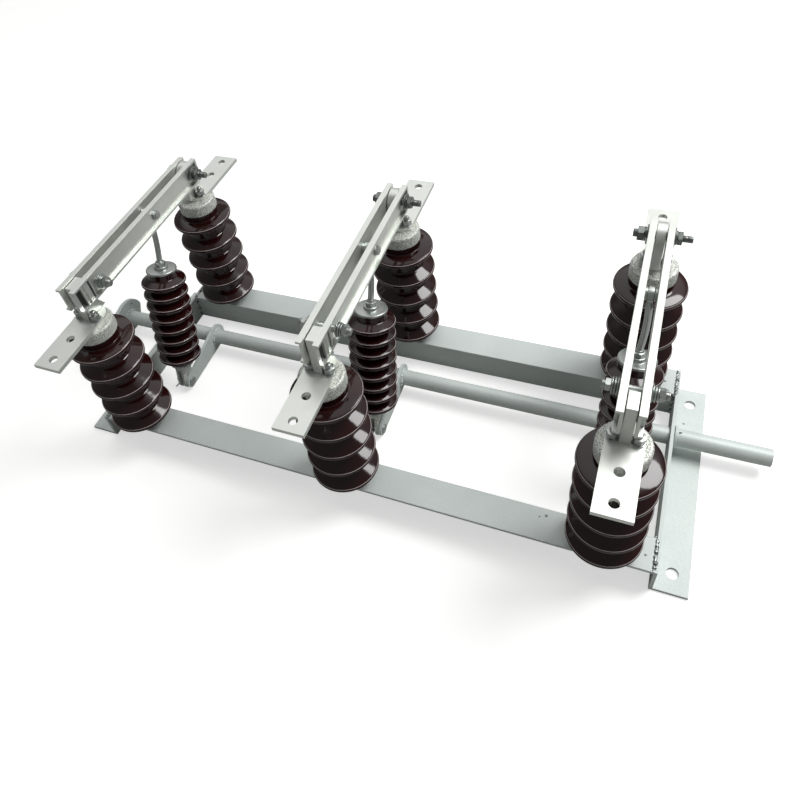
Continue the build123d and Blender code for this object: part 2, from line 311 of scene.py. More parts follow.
def skin(rings, closed=False, highlit_rings=()):
    """Mesh through rings of points; a ring of one point closes its end.

    Rings given by number are marked to carry a painted highlight, a pale line along a rim's edge."""
    shape = bmesh.new()
    if highlit_rings:
        highlight_mark = shape.verts.layers.float.new("painted_rim_highlight")
    rows = [[shape.verts.new(p) for p in ring] for ring in rings]
    for k in highlit_rings:
        for vert in rows[k]:
            vert[highlight_mark] = 1.0
    pairs = list(zip(rows, rows[1:]))
    if closed:
        pairs.append((rows[-1], rows[0]))
    for low, high in pairs:
        count = max(len(low), len(high))
        for k in range(count):
            j = (k + 1) % count
            if len(low) == 1:
                shape.faces.new((low[0], high[j], high[k]))
            elif len(high) == 1:
                shape.faces.new((low[k], low[j], high[0]))
            else:
                shape.faces.new((low[k], low[j], high[j], high[k]))
    mesh = bpy.data.meshes.new("shape")
    shape.to_mesh(mesh)
    shape.free()
    return mesh


def turned(profile, sides, closed=False, highlit_rings=()):
    """Shape turned about Z from (radius, height) points that run anticlockwise."""
    rings = []
    for r, z in profile:
        if r == 0:
            rings.append([(0, 0, z)])
        else:
            turns = [2 * pi * k / sides for k in range(sides)]
            rings.append([(r * cos(a), r * sin(a), z) for a in turns])
    return skin(rings, closed, highlit_rings)


def lathed(corners, steps, sides, closed=False):
    """Turned shape whose corners are rounded in so many steps."""
    return turned(rounded(corners, steps), sides, closed)


def washer(inner, outer, low, high, edge=0.3):
    corners = [(inner, low, 0), (outer, low, edge), (outer, high, edge), (inner, high, 0)]
    return lathed(corners, 3, 48, True)


def hexagon(across, low, high):
    """Hexagonal nut or head whose corners are chamfered at 30 degrees."""
    sides = 48
    flat = across / 2
    rim = flat * 0.95
    turns = [2 * pi * k / sides for k in range(sides)]
    reach = [flat / cos((a + pi / 6) % (pi / 3) - pi / 6) for a in turns]
    drop = [(r - rim) * tan(radians(30)) for r in reach]

    def level(radii, heights):
        return [(r * cos(a), r * sin(a), z) for a, r, z in zip(turns, radii, heights)]

    rings = [
        [(0, 0, low)],
        level([rim] * sides, [low] * sides),
        level(reach, [low + d for d in drop]),
        level(reach, [high - d for d in drop]),
        level([rim] * sides, [high] * sides),
        [(0, 0, high)],
    ]
    return skin(rings)


def spring_washer(inner, outer, low, thick, rise):
    """Split ring of square wire, one end lifted above the other."""
    steps = 48
    half_gap = 6
    section = ((outer, thick), (outer, 0), (inner, 0), (inner, thick))
    rings = []
    for k in range(steps + 1):
        turn = radians(half_gap + (360 - 2 * half_gap) * k / steps)
        z = low + rise * k / steps
        rings.append([(r * cos(turn), r * sin(turn), z + up) for r, up in section])
    ends = [[[sum(p[i] for p in ring) / 4 for i in range(3)]] for ring in (rings[0], rings[-1])]
    return skin([ends[0], *rings, ends[1]])


def dished_washer(rim, low):
    """Spring washer pressed into a shallow cup."""
    bore = 4.0
    corners = [
        (bore, low, 0),
        (rim - 1.6, low, 0.5),
        (rim, low + 1.3, 0.5),
        (rim, low + 2.2, 0.3),
        (bore, low + 2.2, 0),
    ]
    return lathed(corners, 3, 48, True)


def stud(radius, low, high, dome):
    """Plain round bar with eased ends."""
    return lathed([(0, low, 0), (radius, low, dome), (radius, high, dome), (0, high, 0)], 4, 32)


def bar(half_x, half_y, high):
    """Small upright flat bar standing on its own origin."""
    rings = [
        [(half_x, half_y, z), (-half_x, half_y, z), (-half_x, -half_y, z), (half_x, -half_y, z)]
        for z in (0, high)
    ]
    return skin([[(0, 0, 0)], *rings, [(0, 0, high)]])


def wire(paths, radius):
    """Round wire along smooth paths, in millimetres, closed at its ends."""
    curve = bpy.data.curves.new("wire", "CURVE")
    curve.dimensions = "3D"
    curve.bevel_depth = radius / 1000
    curve.bevel_resolution = 3
    curve.use_fill_caps = True
    for path in paths:
        line = curve.splines.new("NURBS")
        line.points.add(len(path) - 1)
        for point, place in zip(line.points, path):
            point.co = (place[0] / 1000, place[1] / 1000, place[2] / 1000, 1.0)
        line.order_u = 3
        line.use_endpoint_u = True
        line.resolution_u = 6
    holder = bpy.data.objects.new("wire", curve)
    scene.collection.objects.link(holder)
    mesh = bpy.data.meshes.new_from_object(holder)
    bpy.data.objects.remove(holder)
    bpy.data.curves.remove(curve)
    return mesh


def joined(*pieces):
    """One mesh, in metres, from (mesh, placing matrix) pairs in millimetres."""
    shape = bmesh.new()
    for mesh, place in pieces:
        mesh.transform(millimetres @ place)
        shape.from_mesh(mesh)
        bpy.data.meshes.remove(mesh)
    mesh = bpy.data.meshes.new("joined")
    shape.to_mesh(mesh)
    shape.free()
    return mesh


def at(x, y, z):
    return Matrix.Translation((x, y, z))


def spun(place, turn):
    """Place turned about its own axis."""
    return place @ Matrix.Rotation(turn, 4, "Z")


def piece(name, mesh, body, material, replaced=(), sharp=35):
    """Finishes a piece, lets it ride on its body and stand for the nodes that it covers."""
    mesh.name = name
    mesh.materials.clear()
    mesh.materials.append(material)
    mesh.shade_smooth()
    mesh.set_sharp_from_angle(angle=radians(sharp))
    thing = bpy.data.objects.new(name, mesh)
    scene.collection.objects.link(thing)
    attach(thing, body)
    if replaced:
        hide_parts(*replaced)
    return thing


def eased(name, material, edge, inner=0.0, round_end=None):
    """Copy of a node with its outer edges broken and its inner corners filleted.

    The upright edges at y = round_end[0] are rounded by the radius round_end[1]."""
    sharp = 30
    shape = bmesh.new()
    shape.from_mesh(nodes[name].data)
    bmesh.ops.remove_doubles(shape, verts=shape.verts, dist=1e-6)
    bmesh.ops.dissolve_limit(shape, angle_limit=radians(0.5), verts=shape.verts, edges=shape.edges)
    if round_end:
        at_end = [
            line
            for line in shape.edges
            if all(abs(v.co.y - round_end[0] / 1000) < 1e-4 for v in line.verts)
            and abs(line.verts[0].co.x - line.verts[1].co.x) < 1e-5
        ]
        bmesh.ops.bevel(
            shape, geom=at_end, offset=round_end[1] / 1000, segments=8, profile=0.5, affect="EDGES"
        )
    weights = shape.edges.layers.float.new("bevel_weight_edge")
    widest = max(edge, inner)
    for line in shape.edges:
        if len(line.link_faces) == 2 and line.calc_face_angle() > radians(sharp):
            line[weights] = (edge if line.is_convex else max(inner, edge)) / widest
    mesh = bpy.data.meshes.new(name)
    shape.to_mesh(mesh)
    shape.free()
    thing = piece(f"{name}_steel", mesh, body_of[name], material, [name], sharp)
    bevel = thing.modifiers.new("eased_edges", "BEVEL")
    bevel.limit_method = "WEIGHT"
    bevel.width = widest / 1000
    bevel.segments = 3
    bevel.harden_normals = True
    return thing


def new_tree(name, sizes):
    """Geometry tree with a shape input, named sizes and a shape output."""
    tree = bpy.data.node_groups.new(name, "GeometryNodeTree")
    kinds = {"Geometry": "NodeSocketGeometry", **sizes, "Finish": "NodeSocketMaterial"}
    for label, kind in kinds.items():
        tree.interface.new_socket(name=label, in_out="INPUT", socket_type=kind)
    tree.interface.new_socket(name="Geometry", in_out="OUTPUT", socket_type="NodeSocketGeometry")
    return tree, add(tree, "NodeGroupInput").outputs


def grown(base, tree, sizes):
    """Plain mesh that a tree makes from a base mesh and its named sizes."""
    holder = bpy.data.objects.new("growing", base)
    scene.collection.objects.link(holder)
    growth = holder.modifiers.new("growth", "NODES")
    growth.node_group = tree
    for socket in tree.interface.items_tree:
        if socket.in_out == "INPUT" and socket.name in sizes:
            growth[socket.identifier] = sizes[socket.name]
    graph = bpy.context.evaluated_depsgraph_get()
    mesh = bpy.data.meshes.new_from_object(holder.evaluated_get(graph), depsgraph=graph)
    holder.modifiers.remove(growth)
    bpy.data.objects.remove(holder)
    return mesh


def marks(places, lines=()):
    """Points, and lines between them, in millimetres, for a tree to work from."""
    mesh = bpy.data.meshes.new("marks")
    mesh.from_pydata([[c / 1000 for c in p] for p in places], lines, [])
    return mesh


def pattern(name, mesh):
    """Shape that a tree repeats; it is taken away again at the end."""
    thing = bpy.data.objects.new(name, mesh)
    scene.collection.objects.link(thing)
    return thing


def close_tree(tree, shape, given):
    """Ends a tree: its result is made real and takes its material."""
    real = add(tree, "GeometryNodeRealizeInstances", {0: shape})
    coated = add(
        tree,
        "GeometryNodeSetMaterial",
        {"Geometry": real.outputs[0], "Material": given["Finish"]},
    )
    add(tree, "NodeGroupOutput", {0: coated.outputs[0]})


# Columns of sheds: one shed is repeated up the axis, and its ends are joined on.
shed_column, given = new_tree(
    "shed_column",
    {
        "Shed": "NodeSocketObject",
        "Ends": "NodeSocketObject",
        "Sheds": "NodeSocketInt",
        "Pitch": "NodeSocketFloat",
        "Lean": "NodeSocketVector",
    },
)
rise = add(shed_column, "ShaderNodeCombineXYZ", {"Z": given["Pitch"]})
levels = add(
    shed_column,
    "GeometryNodeMeshLine",
    {"Count": given["Sheds"], "Offset": rise.outputs[0]},
    mode="OFFSET",
)
shed = add(shed_column, "GeometryNodeObjectInfo", {"Object": given["Shed"]})
ends = add(shed_column, "GeometryNodeObjectInfo", {"Object": given["Ends"]})
stack = add(
    shed_column,
    "GeometryNodeInstanceOnPoints",
    {"Points": levels.outputs[0], "Instance": shed.outputs["Geometry"]},
)
both = add(shed_column, "GeometryNodeJoinGeometry", {0: stack.outputs[0]})
shed_column.links.new(ends.outputs["Geometry"], both.inputs[0])
whole = add(shed_column, "GeometryNodeRealizeInstances", {0: both.outputs[0]})
sealed = add(
    shed_column,
    "GeometryNodeMergeByDistance",
    {"Geometry": whole.outputs[0], "Distance": 0.00001},
)
feet = add(shed_column, "GeometryNodeMeshToPoints", {"Mesh": given["Geometry"]})
standing = add(
    shed_column,
    "GeometryNodeInstanceOnPoints",
    {"Points": feet.outputs[0], "Instance": sealed.outputs[0], "Rotation": given["Lean"]},
)
close_tree(shed_column, standing.outputs[0], given)

# Small pieces on marks, each turned by its own amount about its own axis.
fasteners, given = new_tree(
    "fasteners_on_marks",
    {"Fastener": "NodeSocketObject", "Most turn": "NodeSocketFloat", "Seed": "NodeSocketInt"},
)
spots = add(fasteners, "GeometryNodeMeshToPoints", {"Mesh": given["Geometry"]})
kind = add(fasteners, "GeometryNodeObjectInfo", {"Object": given["Fastener"]})
most = add(fasteners, "ShaderNodeCombineXYZ", {"Z": given["Most turn"]})
spin = add(
    fasteners,
    "FunctionNodeRandomValue",
    {0: (0, 0, 0), 1: most.outputs[0], "Seed": given["Seed"]},
    data_type="FLOAT_VECTOR",
)
driven = add(
    fasteners,
    "GeometryNodeInstanceOnPoints",
    {
        "Points": spots.outputs[0],
        "Instance": kind.outputs["Geometry"],
        "Rotation": spin.outputs[0],
    },
)
close_tree(fasteners, driven.outputs[0], given)

# Screw threads: a ridge wound round the bar from each mark.
threads, given = new_tree(
    "threads_on_marks",
    {
        "Radius": "NodeSocketFloat",
        "Pitch": "NodeSocketFloat",
        "Length": "NodeSocketFloat",
        "Ridge": "NodeSocketFloat",
        "Lay": "NodeSocketVector",
    },
)
turns = add(threads, "ShaderNodeMath", {0: given["Length"], 1: given["Pitch"]}, operation="DIVIDE")
helix = add(
    threads,
    "GeometryNodeCurveSpiral",
    {
        "Resolution": 24,
        "Rotations": turns.outputs[0],
        "Start Radius": given["Radius"],
        "End Radius": given["Radius"],
        "Height": given["Length"],
    },
)
crest = add(
    threads, "GeometryNodeCurvePrimitiveCircle", {"Resolution": 4, "Radius": given["Ridge"]}
)
wound = add(
    threads,
    "GeometryNodeCurveToMesh",
    {"Curve": helix.outputs[0], "Profile Curve": crest.outputs[0], "Fill Caps": True},
)
spots = add(threads, "GeometryNodeMeshToPoints", {"Mesh": given["Geometry"]})
cut = add(
    threads,
    "GeometryNodeInstanceOnPoints",
    {"Points": spots.outputs[0], "Instance": wound.outputs[0], "Rotation": given["Lay"]},
)
close_tree(threads, cut.outputs[0], given)

# Weld beads: a rippled, uneven seam along each line.
weld_beads, given = new_tree(
    "weld_beads",
    {"Width": "NodeSocketFloat", "Ripple": "NodeSocketFloat", "Seed": "NodeSocketInt"},
)
seam = add(weld_beads, "GeometryNodeMeshToCurve", {0: given["Geometry"]})
fine = add(
    weld_beads,
    "GeometryNodeResampleCurve",
    {"Curve": seam.outputs[0], "Length": 0.0005},
    mode="LENGTH",
)
run = add(weld_beads, "GeometryNodeSplineParameter")
beat = add(
    weld_beads,
    "ShaderNodeMath",
    {0: run.outputs["Length"], 1: given["Ripple"]},
    operation="DIVIDE",
)
wave = add(weld_beads, "ShaderNodeMath", {0: beat.outputs[0], 1: 2.0}, operation="PINGPONG")
here = add(weld_beads, "GeometryNodeInputPosition")
lumps = add(
    weld_beads,
    "ShaderNodeTexNoise",
    {"Vector": here.outputs[0], "W": given["Seed"], "Scale": 240.0, "Detail": 2.0},
    noise_dimensions="4D",
)
swell = add(
    weld_beads,
    "ShaderNodeMath",
    {0: wave.outputs[0], 1: 0.12, 2: lumps.outputs["Fac"]},
    operation="MULTIPLY_ADD",
)
thick = add(
    weld_beads,
    "ShaderNodeMath",
    {0: swell.outputs[0], 1: given["Width"]},
    operation="MULTIPLY",
)
shift = add(
    weld_beads,
    "ShaderNodeVectorMath",
    {0: lumps.outputs["Color"], 1: (0.5, 0.5, 0.5)},
    operation="SUBTRACT",
)
throw = add(
    weld_beads,
    "ShaderNodeVectorMath",
    {0: shift.outputs[0], "Scale": 0.0035},
    operation="SCALE",
)
laid = add(
    weld_beads,
    "GeometryNodeSetPosition",
    {"Geometry": fine.outputs[0], "Offset": throw.outputs[0]},
)
round_rod = add(weld_beads, "GeometryNodeCurvePrimitiveCircle", {"Resolution": 10, "Radius": 1.0})
bead = add(
    weld_beads,
    "GeometryNodeCurveToMesh",
    {
        "Curve": laid.outputs[0],
        "Profile Curve": round_rod.outputs[0],
        "Scale": thick.outputs[0],
        "Fill Caps": True,
    },
)
close_tree(weld_beads, bead.outputs[0], given)

# Sand-cast skin: every point moved out or in by the grain of the mould.
sand_skin, given = new_tree(
    "sand_cast_skin", {"Grain": "NodeSocketFloat", "Depth": "NodeSocketFloat"}
)
here = add(sand_skin, "GeometryNodeInputPosition")
fineness = add(sand_skin, "ShaderNodeMath", {0: 1.0, 1: given["Grain"]}, operation="DIVIDE")
grains = add(
    sand_skin,
    "ShaderNodeTexNoise",
    {"Vector": here.outputs[0], "Scale": fineness.outputs[0], "Detail": 1.0},
)
level = add(
    sand_skin,
    "ShaderNodeMath",
    {0: grains.outputs["Fac"], 1: 0.5},
    operation="SUBTRACT",
)
depth = add(
    sand_skin,
    "ShaderNodeMath",
    {0: level.outputs[0], 1: given["Depth"]},
    operation="MULTIPLY",
)
facing = add(sand_skin, "GeometryNodeInputNormal")
push = add(
    sand_skin,
    "ShaderNodeVectorMath",
    {0: facing.outputs[0], "Scale": depth.outputs[0]},
    operation="SCALE",
)
rough_cast = add(
    sand_skin,
    "GeometryNodeSetPosition",
    {"Geometry": given["Geometry"], "Offset": push.outputs[0]},
)
close_tree(sand_skin, rough_cast.outputs[0], given)


def threaded(starts, radius, pitch, length, finish):
    """Threads wound along X from each start, in millimetres."""
    return grown(
        marks(starts),
        threads,
        {
            "Radius": radius / 1000,
            "Pitch": pitch / 1000,
            "Length": length / 1000,
            "Ridge": 0.0005,
            "Lay": (0, pi / 2, 0),
            "Finish": finish,
        },
    )


def shed_profile(core, rim, tip, slope, pitch, groove, top_core=None):
    """One shed's profile about its own level, from the middle of the groove below it upwards.

    Points 10 and 17 are the lower and upper edges of its rim."""
    lean = radians(slope)
    under = radians(10)
    rim_steps = 12
    low = (rim - tip + tip * sin(under), -tip * cos(under))
    high = (rim - tip + tip * sin(lean), tip * cos(lean))
    root_low = low[1] + (low[0] - core) * tan(under)
    root_high = high[1] + (high[0] - core) * tan(lean)
    middle = (root_high + root_low - pitch) / 2
    points = rounded([(core, middle, 0), (core, root_low, groove), (low[0], low[1], 0)])
    for k in range(1, rim_steps):
        turn = -(pi / 2 - under) + (pi - under - lean) * k / rim_steps
        points.append((rim - tip + tip * cos(turn), tip * sin(turn)))
    if top_core is None:
        points += rounded(
            [(high[0], high[1], 0), (core, root_high, groove), (core, middle + pitch, 0)]
        )
    else:
        points += [high, (top_core, high[1] + (high[0] - top_core) * tan(lean))]
    return points


def raised(profile, height):
    return [(r, z + height) for r, z in profile]


# Posts: five sheds, the highest running up to a sunk neck under the cap.
post_core = 25.0
post_pitch = 34.2
post_sheds = 5
post_sides = 96
post_low = 46.05
first_rim = 60.5
neck_foot = 27.0
neck_radius = 24.2
neck_top = 221.0
# Rings 10 and 17 of a shed's profile carry the painted highlight line along the rim's edges.
rim_edges = (10, 17)
post_form = (post_core, 40.5, 4.0, 30.0, post_pitch, 5.0)
post_shed = shed_profile(*post_form)
groove_low = first_rim + post_shed[0][1]
top_shed = raised(shed_profile(*post_form, neck_foot), first_rim + (post_sheds - 1) * post_pitch)
neck_points = rounded(
    [
        (*top_shed[-2], 0),
        (neck_foot, 202.4, 0.8),
        (neck_radius, 203.0, 1.0),
        (neck_radius, neck_top, 0),
        (0, neck_top, 0),
    ]
)
foot_points = [(0, post_low), (post_core, post_low), (post_core, groove_low)]
column_ends = joined(
    (turned(foot_points, post_sides), upright),
    (turned(top_shed[:-1] + neck_points[1:], post_sides, highlit_rings=rim_edges), upright),
)
one_shed = joined((turned(raised(post_shed, first_rim), post_sides, highlit_rings=rim_edges), upright))
shed_pattern = pattern("post_shed_pattern", one_shed)
end_pattern = pattern("post_end_pattern", column_ends)
posts = grown(
    marks([(x, y, 0) for x, y in post_places]),
    shed_column,
    {
        "Shed": shed_pattern,
        "Ends": end_pattern,
        "Sheds": post_sheds - 1,
        "Pitch": post_pitch / 1000,
        "Lean": (0, 0, 0),
        "Finish": glaze,
    },
)
post_nodes = [name for name in nodes if name.endswith("_post")]
piece("porcelain_posts", posts, "frame", glaze, post_nodes, 50)

# Caps: sand-cast, with a rounded shoulder.
cap_radius = 25.6
cap_bore = 24.3
cap_low = 213.0
cap_top = 229.8
cap_step = 1.1
cap_profile = rounded(
    [
        (0, cap_top, 0),
        (cap_radius, cap_top, 3.0),
        (cap_radius, cap_low, 1.0),
        (cap_bore, cap_low, 0),
        (cap_bore, 222.0, 0),
    ],
    6,
)
cap_rings = [(0, cap_top)]
for (r0, z0), (r1, z1) in zip(cap_profile, cap_profile[1:]):
    parts = max(1, round(Vector((r1 - r0, z1 - z0)).length / cap_step))
    cap_rings += [
        (r0 + (r1 - r0) * k / parts, z0 + (z1 - z0) * k / parts) for k in range(1, parts + 1)
    ]
cap_rings.reverse()
cap_shapes = [(turned(cap_rings, 150), at(x, y, 0)) for x, y in post_places]
caps = grown(joined(*cap_shapes), sand_skin, {"Grain": 0.0030, "Depth": 0.0007, "Finish": casting})
piece("cast_post_caps", caps, "frame", casting, ["post_caps"], 60)

# Cap bolts: two to a strap, stud and nut on a spring washer and a flat washer.
cap_bolt_reach = 11.3
cap_bolt = joined(
    (washer(3.3, 6.2, 0.0, 1.4), upright),
    (spring_washer(3.3, 5.4, 1.45, 1.4, 0.5), upright),
    (hexagon(10.4, 3.4, 8.8), upright),
    (stud(3.2, 8.0, 13.6, 1.8), upright),
)
bolt_pattern = pattern("cap_bolt_pattern", cap_bolt)
cap_bolts = grown(
    marks([(x + side * cap_bolt_reach, y, strap_top) for x, y in post_places for side in (-1, 1)]),
    fasteners,
    {"Fastener": bolt_pattern, "Most turn": 6.28, "Seed": 4, "Finish": zinc},
)
piece("cap_bolts", cap_bolts, "frame", zinc)

# Bars, plates and levers with their edges broken.
for name in ("front_beam", "rear_beam"):
    eased(name, paint, 0.8, 4.0)
for name in ("left_end_angle", "right_end_angle"):
    eased(name, paint, 0.7, 4.0)
for name in nodes:
    if name.endswith("_terminal"):
        eased(name, tinned, 0.6, round_end=(-98.0 if name.startswith("front") else 110.0, 8.0))
    elif name.endswith("_blades"):
        eased(name, tinned, 0.7)
    elif name.endswith("_crank"):
        eased(name, paint, 0.6)
    elif name.endswith("_rod_fork"):
        eased(name, casting, 0.8)
eased("contact_plates", tinned, 0.6)
eased("drive_lever", paint, 0.7)
eased("post_feet", paint, 0.5)

# Shaft tube, drawn round and open at both ends, with a collar washer at each end angle.
tube_bore = 8.0
tube_radius = 10.65
tube_left = -450.0
tube_right = 467.0
tube_corners = [
    (tube_bore, tube_left, 0.4),
    (tube_radius, tube_left, 0.5),
    (tube_radius, tube_right, 0.5),
    (tube_bore, tube_right, 0.4),
]
place = at(0, *shaft) @ along_x
tube_shape = joined((lathed(tube_corners, 3, 96, True), place))
piece("shaft_round_tube", tube_shape, "shaft", paint, ["shaft_tube"])
collars = [(washer(10.7, 14.0, low, low + 3.0, 0.5), place) for low in (360.0, -363.0)]
piece("shaft_collar_washers", joined(*collars), "shaft", paint, ["shaft_washers"])

# Hinge bolts: nut and short end on the left, washers both sides, nut and long thread on the right.
hinge_parts = []
for x in poles.values():
    place = at(x, *hinge) @ along_x
    hinge_parts += [
        (stud(4.2, -28.0, 22.0, 0.8), place),
        (stud(3.5, 21.5, 32.0, 0.8), place),
        (hexagon(15.0, -23.6, -16.4), spun(place, 0.3)),
        (washer(4.3, 7.6, -16.3, -14.6), place),
        (washer(4.3, 10.5, -14.4, -13.0), place),
        (washer(4.3, 10.5, 13.0, 14.4), place),
        (spring_washer(4.3, 7.6, 14.5, 1.6, 0.4), place),
        (hexagon(13.5, 16.6, 21.6), spun(place, 0.5)),
    ]
piece("hinge_bolt_sets", joined(*hinge_parts), "frame", dull, ["hinge_bolts"])
for side, start, length, radius in (("left", -27.6, 3.9, 4.15), ("right", 21.7, 9.9, 3.45)):
    starts = [(x + start, *hinge) for x in poles.values()]
    wound = threaded(starts, radius, 1.4, length, dull)
    piece(f"hinge_bolt_thread_{side}", wound, "frame", dull, sharp=60)

# Pieces that turn with each blade pair.
rib_pattern = pattern("contact_rib_pattern", joined((bar(1.7, 0.45, 26), upright)))
rib_low = 258.0
rib_reach = 10.9
rib_lines = (-119.5, -114.0, -104.4)
leaf_place = (9.1, -114.9, 258.3)
for pole, x in poles.items():
    body = f"{pole}_blade_pair"
    place = at(x, *contact) @ along_x
    clamp = []
    for side, rims in ((-1, (8.6, 8.4, 8.0)), (1, (8.2, 7.8, 7.2))):
        flip = place if side == 1 else place @ half_turn
        for k, rim in enumerate(rims):
            clamp.append((dished_washer(rim, 12.9 + 2.35 * k), flip))
        clamp.append((hexagon(11.2, 20.1, 25.4), spun(flip, 0.2 + 0.4 * side)))
    clamp.append((stud(3.75, -29.0, 29.0, 0.8), place))
    piece(f"{pole}_contact_bolt_set", joined(*clamp), body, zinc, [f"{pole}_contact_bolt"])
    wound = threaded([(x + start, *contact) for start in (-28.7, 25.9)], 3.7, 1.25, 2.7, zinc)
    piece(f"{pole}_contact_bolt_threads", wound, body, zinc, sharp=60)

    place = at(x, *link) @ along_x
    rivet = [
        (stud(4.0, -9.2, 9.2, 0.3), place),
        (washer(4.0, 7.0, 3.4, 5.9), place),
        (washer(4.0, 7.0, -5.9, -3.4), place),
    ]
    for side in (-1, 1):
        flip = place if side == 1 else place @ half_turn
        rivet.append((washer(4.0, 6.3, 9.05, 10.0, 0.2), flip))
        rivet.append((hexagon(9.5, 10.0, 13.2), spun(flip, 0.35 * side)))
    piece(f"{pole}_link_pin_set", joined(*rivet), body, zinc, [f"{pole}_link_pin"])

    ribs = grown(
        marks([(x + side * rib_reach, y, rib_low) for side in (-1, 1) for y in rib_lines]),
        fasteners,
        {"Fastener": rib_pattern, "Most turn": 0.0, "Seed": 0, "Finish": tinned},
    )
    piece(f"{pole}_contact_ribs", ribs, body, tinned)
    # Near-black sheets behind the ribs stand for the shade inside the channel recess.
    reach, y, low = leaf_place
    leaves = [(bar(0.3, 10.6, 25.4), at(x + side * reach, y, low)) for side in (-1, 1)]
    piece(f"{pole}_contact_spring_leaves", joined(*leaves), body, recess_shade)

# Pull rods: sheds along the leaning axis, and the head with its flange, nut and stem.
rod_core = 18.5
rod_pitch = 17.2
rod_sheds = 8
rod_sides = 80
rod_foot = 36.0
rod_top = 183.4
first_rod_rim = 47.5
rod_lean = Vector((0, link[0] - crank_pin[0], link[1] - crank_pin[1]))
rod_turn = Vector((0, 0, 1)).rotation_difference(rod_lean).to_matrix().to_4x4()
rod_shed = shed_profile(rod_core, 29.5, 3.2, 25.0, rod_pitch, 2.2)
rod_low = first_rod_rim + rod_shed[0][1]
rod_high = rod_low + rod_sheds * rod_pitch
low_end = [(0, rod_foot), (rod_core, rod_foot), (rod_core, rod_low)]
high_end = [(rod_core, rod_high), (rod_core, rod_top), (0, rod_top)]
one_shed = turned(raised(rod_shed, first_rod_rim), rod_sides, highlit_rings=rim_edges)
rod_shed_pattern = pattern("rod_shed_pattern", joined((one_shed, upright)))
rod_end_pattern = pattern(
    "rod_end_pattern",
    joined((turned(low_end, rod_sides), upright), (turned(high_end, rod_sides), upright)),
)
stem_low = 196.0
stem_high = rod_lean.length - 7.0
stem_radius = 3.6
stem_steps = 16
stem_sides = 24
stem_turns = [2 * pi * j / stem_sides for j in range(stem_sides)]


def stem_skin():
    """Stem that bends a little off its axis and flattens on its way up to the eye."""
    rings = [[(0, 0, stem_low)]]
    for k in range(stem_steps + 1):
        z = stem_low + (stem_high - stem_low) * k / stem_steps
        sway = -1.9 * sin(pi * k / stem_steps)
        across = stem_radius if k < 14 else stem_radius - 0.7 * (k - 13) / 3
        along = across + (0.4 if k > 14 else 0)
        rings.append([(across * cos(a) - sway, along * sin(a), z) for a in stem_turns])
    rings.append([(0, 0, stem_high)])
    return skin(rings)


eye_corners = [(4.1, -2.9, 0), (8.5, -2.9, 0.6), (8.5, 2.9, 0.6), (4.1, 2.9, 0)]
flange_corners = [(0, 183.5, 0), (20.0, 183.5, 0.9), (20.0, 187.0, 1.2), (0, 187.0, 0)]
boss_corners = [(0, 186.9, 0), (9.0, 186.9, 0), (8.4, 190.6, 1.0), (0, 190.6, 0)]
neck_corners = [(0, 196.3, 0), (5.0, 196.3, 0), (3.9, 198.5, 0.4), (0, 198.5, 0)]
for pole, x in poles.items():
    body = f"{pole}_pull_rod"
    sheds = grown(
        marks([(x, *crank_pin)]),
        shed_column,
        {
            "Shed": rod_shed_pattern,
            "Ends": rod_end_pattern,
            "Sheds": rod_sheds,
            "Pitch": rod_pitch / 1000,
            "Lean": tuple(rod_turn.to_euler()),
            "Finish": glaze,
        },
    )
    piece(f"{pole}_rod_sheds", sheds, body, glaze, [f"{pole}_rod_porcelain"], 50)

    place = at(x, *crank_pin) @ rod_turn
    head = [
        (lathed(eye_corners, 3, 48, True), at(x, *link) @ along_x),
        (lathed(flange_corners, 4, 64), place),
        (lathed(boss_corners, 4, 48), place),
        (hexagon(12.0, 190.6, 196.4), spun(place, 0.4)),
        (lathed(neck_corners, 3, 32), place),
        (stem_skin(), place),
    ]
    piece(f"{pole}_rod_head_set", joined(*head), body, zinc, [f"{pole}_rod_head"])

# Crank pins with a head on the right, a washer, and a split pin whose legs are bent apart.
pin_head = [(0, 11.4, 0), (6.5, 11.4, 0.3), (6.5, 13.0, 0.9), (2.0, 13.8, 0.5), (0, 13.8, 0)]
split_pin = (
    (
        (-10.4, -1.0, 6.2),
        (-10.4, -0.8, 2.0),
        (-10.6, -0.9, -6.0),
        (-13.5, -5.0, -10.0),
        (-16.0, -8.5, -11.6),
    ),
    (
        (-10.4, 1.0, 6.2),
        (-10.4, 0.8, 2.0),
        (-10.3, 1.0, -6.0),
        (-9.6, -1.5, -10.4),
        (-8.4, -4.5, -12.6),
    ),
    (
        (-10.4, -1.0, 6.0),
        (-10.4, -1.9, 8.2),
        (-10.4, 0.0, 9.8),
        (-10.4, 1.9, 8.2),
        (-10.4, 1.0, 6.0),
    ),
)
wire_radius = 0.9
pin_wires = []
pin_parts = []
for x in poles.values():
    y, z = crank_pin
    place = at(x, y, z) @ along_x
    pin_parts += [
        (stud(4.0, -13.0, 12.0, 0.8), place),
        (lathed(pin_head, 4, 48), place),
        (washer(4.1, 7.2, -8.6, -7.2), place),
    ]
    pin_wires += [[(x + dx, y + dy, z + dz) for dx, dy, dz in leg] for leg in split_pin]
piece("crank_pin_set", joined(*pin_parts), "shaft", zinc, ["crank_pins"])
piece("crank_split_pins", wire(pin_wires, wire_radius), "shaft", zinc)

# Split pins through the shaft, outside its collar washers.
shaft_wires = []
y, z = shaft
for x in (-366.5, 366.5):
    for lead in (-0.7, 0.7):
        straight = [(x + lead, y, z + up) for up in (13.4, 6, -11)]
        shaft_wires.append([*straight, (x + 3 * lead, y, z - 14.5)])
piece("shaft_split_pins", wire(shaft_wires, wire_radius), "shaft", zinc)

